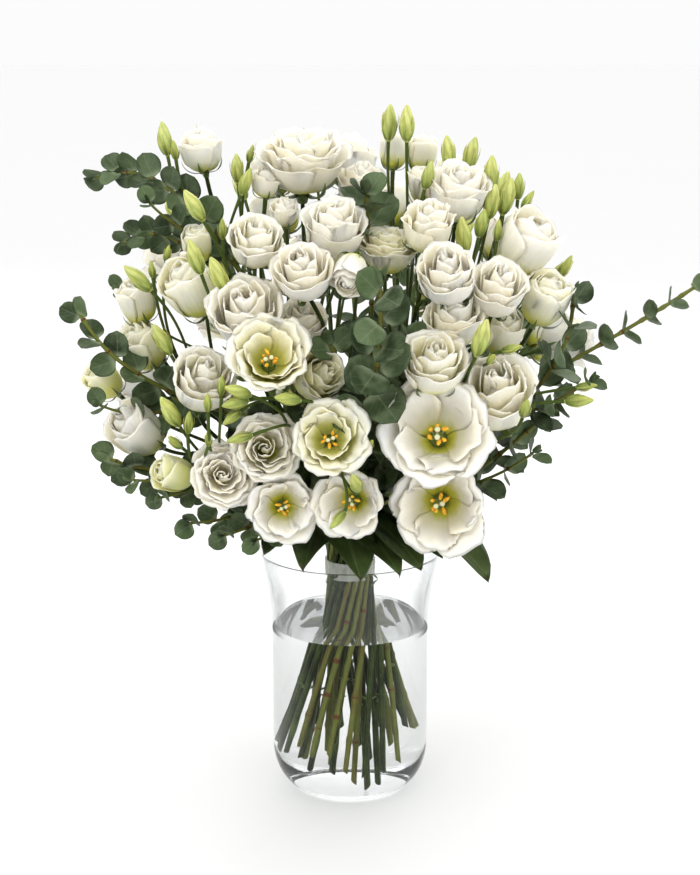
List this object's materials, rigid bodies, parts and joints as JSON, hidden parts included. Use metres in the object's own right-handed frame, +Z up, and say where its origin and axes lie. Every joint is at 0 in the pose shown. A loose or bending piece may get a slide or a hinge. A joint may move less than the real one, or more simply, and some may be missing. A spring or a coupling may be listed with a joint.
{
  "type": "floral table centerpiece",
  "caption": "Hand-tied bouquet of white lisianthus and round-leaved eucalyptus, standing in a clear glass vase of water.",
  "frame": {"origin": "centre of the vase's flat foot, on the surface it stands on", "axes": "+Z up along the vase's axis, -Y towards the bouquet's front, +X to its right as seen from the front"},
  "size_m": [0.5059, 0.4234, 0.5679],
  "materials": {
    "clear_glass": "clear polished glass",
    "water": "clear still water",
    "tape": "whitish translucent binding tape",
    "petal": "soft matt white petal, cream and green in the throat",
    "green_spray": "smooth mid-green stem, lime-green buds, white flowers",
    "eucalyptus_leaf": "waxy blue-green leaf with a matt bloom"
  },
  "bodies": {
    "root": {"binding_tape": "tape", "eucalyptus_back_low_left": "eucalyptus_leaf", "eucalyptus_back_low_right": "eucalyptus_leaf", "eucalyptus_back_top": "eucalyptus_leaf", "eucalyptus_far_right": "eucalyptus_leaf", "eucalyptus_inner_left": "eucalyptus_leaf", "eucalyptus_inner_right": "eucalyptus_leaf", "eucalyptus_left": "eucalyptus_leaf", "eucalyptus_left_upper": "eucalyptus_leaf", "eucalyptus_low_left": "eucalyptus_leaf", "eucalyptus_low_right": "eucalyptus_leaf", "eucalyptus_middle": "eucalyptus_leaf", "eucalyptus_right": "eucalyptus_leaf", "eucalyptus_top": "eucalyptus_leaf", "eucalyptus_upper_left": "eucalyptus_leaf", "flower_back_left_1": "petal", "flower_back_left_2": "petal", "flower_back_middle_1": "petal", "flower_back_middle_2": "petal", "flower_back_middle_3": "petal", "flower_back_right_1": "petal", "flower_back_right_2": "petal", "flower_back_right_3": "petal", "flower_back_upper_1": "petal", "flower_back_upper_3": "petal", "flower_low_mid_left_1": "petal", "flower_low_mid_left_2": "petal", "flower_low_middle_1": "petal", "flower_low_middle_2": "petal", "flower_low_right_1": "petal", "flower_low_right_2": "petal", "flower_mid_left_1": "petal", "flower_middle_left_1": "petal", "flower_middle_left_2": "petal", "flower_middle_right_1": "petal", "flower_middle_right_2": "petal", "flower_top_middle_1": "petal", "flower_top_right_middle_2": "petal", "lisianthus_back_left": "green_spray", "lisianthus_back_middle": "green_spray", "lisianthus_back_right": "green_spray", "lisianthus_back_upper": "green_spray", "lisianthus_left": "green_spray", "lisianthus_low_left": "green_spray", "lisianthus_low_mid_left": "green_spray", "lisianthus_low_middle": "green_spray", "lisianthus_low_right": "green_spray", "lisianthus_mid_left": "green_spray", "lisianthus_middle_left": "green_spray", "lisianthus_middle_right": "green_spray", "lisianthus_right": "green_spray", "lisianthus_top_left": "green_spray", "lisianthus_top_middle": "green_spray", "lisianthus_top_right": "green_spray", "lisianthus_top_right_middle": "green_spray", "lisianthus_upper_left": "green_spray", "lisianthus_upper_middle_left": "green_spray", "lisianthus_upper_right": "green_spray", "vase": "clear_glass", "water": "water"}
  },
  "joints": []
}
